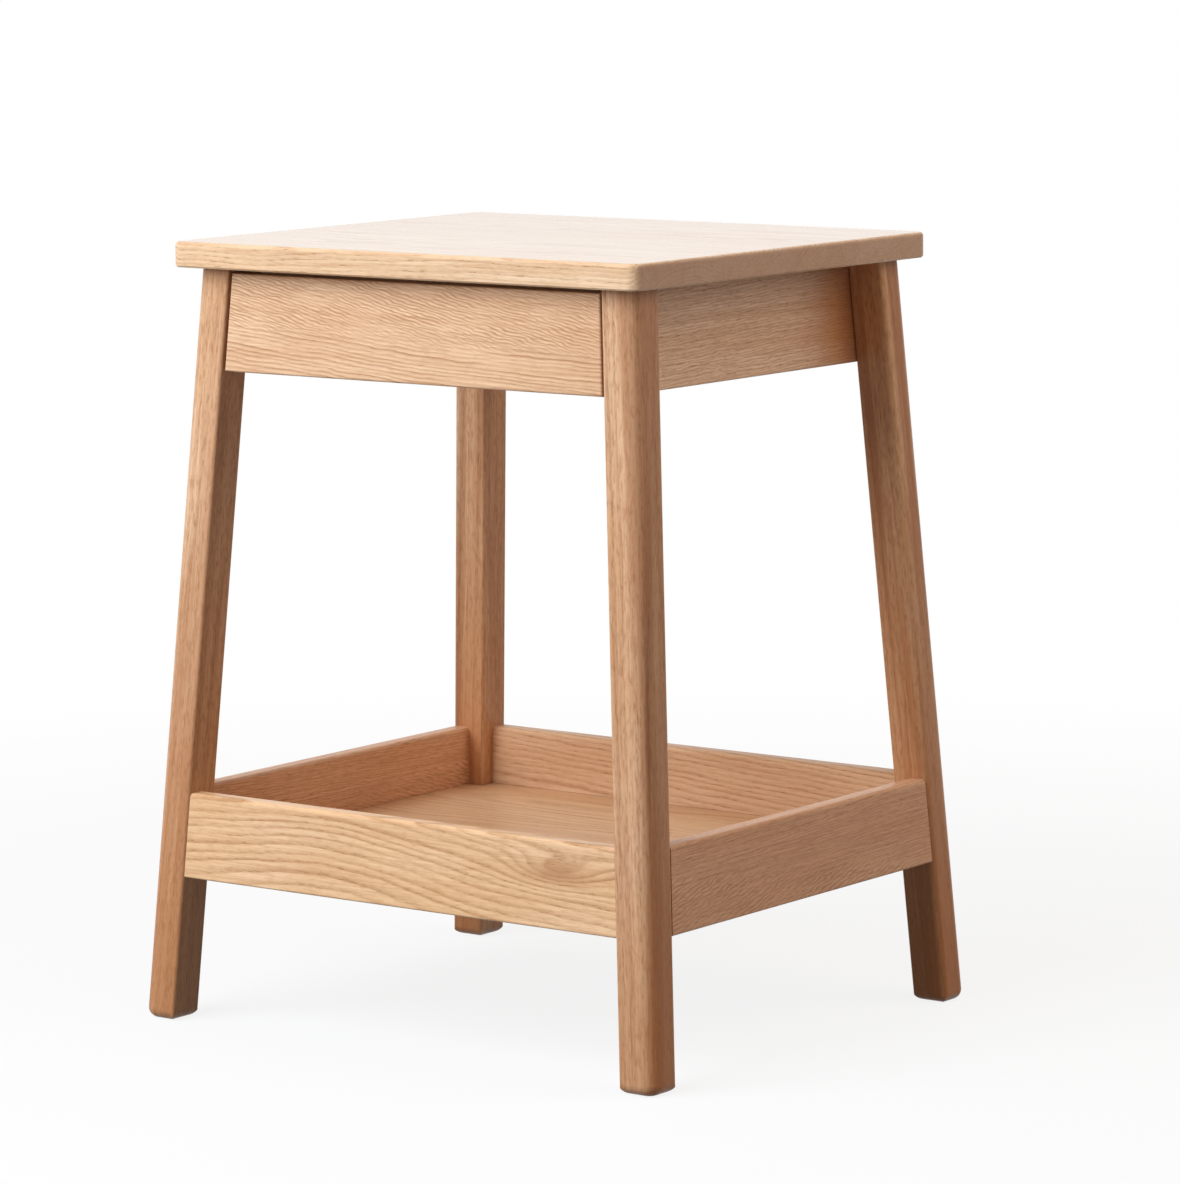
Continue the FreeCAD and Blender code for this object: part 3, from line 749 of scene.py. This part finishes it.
SCREW_SIDES = 32
SCREW_RINGS_IN_FRAME = 4
HEAD_RIM = 0.25
HEAD_HEIGHT = 2.2
SHANK_RADIUS = 1.25
THREAD_RADIUS = 1.72
THREAD_START = 6.0
THREAD_PITCH = 1.6
THREAD_HALF_WIDTH = 0.45
THREAD_STEPS = 18
TIP_LENGTH = 5.0
TIP_RADIUS = 0.25
RECESS_REACH = 2.0
RECESS_HALF_WIDTH = 0.5
RECESS_DEPTH = 1.5
RECESS_TAPER_SHARE = 0.55
SHARP_DEGREES = 40.0
THREAD_ROOT_SHARE = 0.5

# Digits of a metre to which points at one place agree
SAME_PLACE_DIGITS = 6

# Zinc plate: its blotches as the noises above, their tones, roughness and where both set in
ZINC_NOISE = (900.0, 900.0, 900.0), 3.0, 0.5
ZINC_DULL, ZINC_BRIGHT = linear(176, 174, 166), linear(206, 204, 196)
ZINC_TONE_RANGE = (0.35, 0.65)
ZINC_ROUGHNESS_RANGE, ZINC_ROUGHNESS = (0.3, 0.7), (0.26, 0.4)


def islands(mesh):
    """Groups of points that a mesh's faces join; points at one place count as one."""
    places = [tuple(round(value, SAME_PLACE_DIGITS) for value in vertex.co) for vertex in mesh.vertices]
    parent = {place: place for place in places}

    def root(place):
        while parent[place] != place:
            place = parent[place]
        return place

    for polygon in mesh.polygons:
        corners = [places[index] for index in polygon.vertices]
        for corner in corners[1:]:
            parent[root(corner)] = root(corners[0])
    groups = {}
    for place in parent:
        groups.setdefault(root(place), []).append(Vector(place))
    return list(groups.values())


def screw_ends(points):
    """Head's middle, point's middle and head's radius of one screw, whose head is its wider end."""
    middle = sum(points, Vector()) / len(points)
    longest = max((point - middle for point in points), key=lambda arm: arm.length)
    ordered = sorted(points, key=lambda point: point.dot(longest))
    count = len(points) // SCREW_RINGS_IN_FRAME
    ends = []
    for ring in (ordered[:count], ordered[-count:]):
        centre = sum(ring, Vector()) / count
        ends.append((max((point - centre).length for point in ring), centre))
    tip, head = sorted(ends, key=lambda end: end[0])
    return head[1], tip[1], head[0]


def cross_outline(reach, half_width):
    """Corners of a cross, one arm after another."""
    corners = []
    for quarter in range(4):
        turn = Matrix.Rotation(quarter * math.pi / 2, 2)
        for corner in ((reach, -half_width), (reach, half_width), (half_width, half_width)):
            corners.append(turn @ Vector(corner))
    return corners


def add_screw(shape, head, tip, head_radius):
    """One screw, drawn along +Z from the middle of its head in millimetres and set in the frame."""
    direction = tip - head
    length = direction.length / MM
    turn = direction.to_track_quat("Z", "Y").to_matrix().to_4x4()
    setting = Matrix.Translation(head) @ turn @ Matrix.Scale(MM, 4)

    def point(x, y, z):
        return shape.verts.new(setting @ Vector((x, y, z)))

    def circle(radius, height):
        angles = [2 * math.pi * side / SCREW_SIDES for side in range(SCREW_SIDES)]
        return [point(radius * math.cos(angle), radius * math.sin(angle), height) for angle in angles]

    def walls(first, second):
        for side, start in enumerate(first):
            after = (side + 1) % len(first)
            shape.faces.new((start, first[after], second[after], second[side]))

    radius = head_radius / MM
    core_end = length - TIP_LENGTH
    rings = [
        circle(radius, 0.0),
        circle(radius, HEAD_RIM),
        circle(SHANK_RADIUS, HEAD_HEIGHT),
        circle(SHANK_RADIUS, core_end),
        circle(TIP_RADIUS, length),
    ]
    for first, second in zip(rings, rings[1:]):
        walls(first, second)
    shape.faces.new(rings[-1])
    rim = cross_outline(RECESS_REACH, RECESS_HALF_WIDTH)
    mouth = [point(x, y, 0.0) for x, y in rim]
    floor = [point(x * RECESS_TAPER_SHARE, y * RECESS_TAPER_SHARE, RECESS_DEPTH) for x, y in rim]
    walls(mouth, floor)
    shape.faces.new(floor)
    loops = []
    for loop in (rings[0], mouth):
        for side, start in enumerate(loop):
            end = loop[(side + 1) % len(loop)]
            loops.append(shape.edges.get((start, end)))
    bmesh.ops.triangle_fill(shape, use_beauty=True, edges=loops)

    sections = []
    steps = int((length - THREAD_START) / THREAD_PITCH * THREAD_STEPS)
    for step in range(steps + 1):
        height = THREAD_START + THREAD_PITCH * step / THREAD_STEPS
        angle = 2 * math.pi * step / THREAD_STEPS
        share = min(1.0, (length - height) / TIP_LENGTH)
        core = TIP_RADIUS + (SHANK_RADIUS - TIP_RADIUS) * share
        crest = TIP_RADIUS + (THREAD_RADIUS - TIP_RADIUS) * share * min(1.0, step / THREAD_STEPS)
        root = core * THREAD_ROOT_SHARE
        section = []
        for reach, shift in ((root, -1.0), (max(core, crest), 0.0), (root, 1.0)):
            rise = height + shift * THREAD_HALF_WIDTH
            section.append(point(reach * math.cos(angle), reach * math.sin(angle), rise))
        sections.append(section)
    for first, second in zip(sections, sections[1:]):
        walls(first, second)
    shape.faces.new(sections[0])
    shape.faces.new(sections[-1])


def zinc(name):
    """Zinc plated steel, slightly blotchy."""
    material, graph, shader = new_material(name)
    place = graph.node("ShaderNodeTexCoord").outputs["Object"]
    blotches = graph.noise(place, *ZINC_NOISE)["Fac"]
    colour = graph.mix(graph.limits(blotches, *ZINC_TONE_RANGE), ZINC_DULL, ZINC_BRIGHT)
    graph.feed(shader.inputs["Base Color"], colour)
    graph.feed(shader.inputs["Roughness"], graph.limits(blotches, *ZINC_ROUGHNESS_RANGE, *ZINC_ROUGHNESS))
    shader.inputs["Metallic"].default_value = 1.0
    return material


def make_screws():
    material = zinc("zinc_plate")
    for node in ("side_apron_screws", "runner_screws", "tabletop_screws"):
        shape = bmesh.new()
        for points in islands(nodes[node].data):
            add_screw(shape, *screw_ends(points))
        bmesh.ops.recalc_face_normals(shape, faces=shape.faces)
        mesh = bpy.data.meshes.new(node + "_threaded")
        shape.to_mesh(mesh)
        shape.free()
        for polygon in mesh.polygons:
            polygon.use_smooth = True
        mesh.set_sharp_from_angle(angle=math.radians(SHARP_DEGREES))
        mesh.materials.append(material)
        piece = bpy.data.objects.new(node + "_threaded", mesh)
        bpy.context.scene.collection.objects.link(piece)
        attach(piece, "frame")
        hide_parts(node)
        dress(node, material)


def make_camera():
    data = bpy.data.cameras.new("camera")
    data.sensor_width = SENSOR_MM
    data.lens = SENSOR_MM * FOCAL_PIXELS / PICTURE_LONG_SIDE
    data.clip_end = CAMERA_REACH
    camera = bpy.data.objects.new("camera", data)
    bpy.context.scene.collection.objects.link(camera)
    level = math.cos(CAMERA_PITCH)
    back = Vector((math.sin(CAMERA_YAW) * level, -math.cos(CAMERA_YAW) * level, math.sin(CAMERA_PITCH)))
    flat_right = Vector((math.cos(CAMERA_YAW), math.sin(CAMERA_YAW), 0.0))
    flat_up = back.cross(flat_right)
    right = flat_right * math.cos(CAMERA_ROLL) + flat_up * math.sin(CAMERA_ROLL)
    up = back.cross(right)
    turn = Matrix((right, up, back)).transposed().to_4x4()
    place = CAMERA_AIM + right * CAMERA_SLIDE_RIGHT + up * CAMERA_SLIDE_UP + back * CAMERA_DISTANCE
    camera.matrix_world = Matrix.Translation(place) @ turn
    bpy.context.scene.camera = camera


def soft_light(name, place, size, watts, tint):
    data = bpy.data.lights.new(name, "AREA")
    data.shape = "SQUARE"
    data.size = size
    data.energy = watts
    data.color = tint
    light = bpy.data.objects.new(name, data)
    bpy.context.scene.collection.objects.link(light)
    light.visible_glossy = False
    light.location = place
    light.rotation_mode = "QUATERNION"
    light.rotation_quaternion = (Vector(LIGHT_AIM) - Vector(place)).to_track_quat("-Z", "Y")


def seen_directly(graph):
    """1 for what the camera sees straight on, in gloss or through glass, otherwise 0."""
    path = graph.node("ShaderNodeLightPath").outputs
    reflected = graph.math("MAXIMUM", path["Is Glossy Ray"], path["Is Transmission Ray"])
    return graph.math("MAXIMUM", path["Is Camera Ray"], reflected)


def make_world():
    world = bpy.data.worlds.new("studio")
    world.use_nodes = True
    bpy.context.scene.world = world
    graph = Graph(world.node_tree)
    background = world.node_tree.nodes["Background"]
    direct = seen_directly(graph)
    graph.feed(background.inputs["Strength"], graph.math("MULTIPLY_ADD", direct, 1.0 - AMBIENT, AMBIENT))
    graph.feed(background.inputs["Color"], graph.mix(direct, AMBIENT_TINT, WHITE))


def make_floor():
    place = (0.0, 0.0, -FLOOR_DROP)
    bpy.ops.mesh.primitive_circle_add(
        vertices=FLOOR_SIDES,
        radius=FLOOR_RADIUS,
        fill_type="NGON",
        location=place,
    )
    floor = bpy.context.object
    floor.name = "floor"
    material, graph, unused_shader = new_material("floor_white")
    tree = material.node_tree
    tree.nodes.remove(unused_shader)
    direct = seen_directly(graph)
    matt = graph.node("ShaderNodeBsdfDiffuse")
    graph.feed(matt.inputs["Color"], graph.mix(direct, FLOOR_GREY, FLOOR_PALE))
    bright = graph.node("ShaderNodeEmission")
    bright.inputs["Color"].default_value = WHITE
    distance = graph.vector("LENGTH", graph.node("ShaderNodeTexCoord").outputs["Object"])
    share = graph.limits(distance, FLOOR_FADE_START, FLOOR_FADE_END, FLOOR_BRIGHT_SHARE, 1.0)
    blend = graph.node("ShaderNodeMixShader")
    graph.feed(blend.inputs[0], graph.math("MULTIPLY", share, direct))
    graph.feed(blend.inputs[1], matt.outputs[0])
    graph.feed(blend.inputs[2], bright.outputs[0])
    graph.feed(tree.nodes["Material Output"].inputs["Surface"], blend.outputs[0])
    floor.data.materials.append(material)


make_camera()
dress_panels()
dress_drawer_front()
dress_legs()
dress_long_rails()
dress_sides()
dress_inner_wood()
make_screws()
soft_light("key_light", KEY_PLACE, KEY_SIZE, KEY_WATTS, KEY_TINT)
soft_light("fill_light", FILL_PLACE, FILL_SIZE, FILL_WATTS, FILL_TINT)
make_world()
make_floor()
bpy.context.scene.view_settings.view_transform = "Standard"
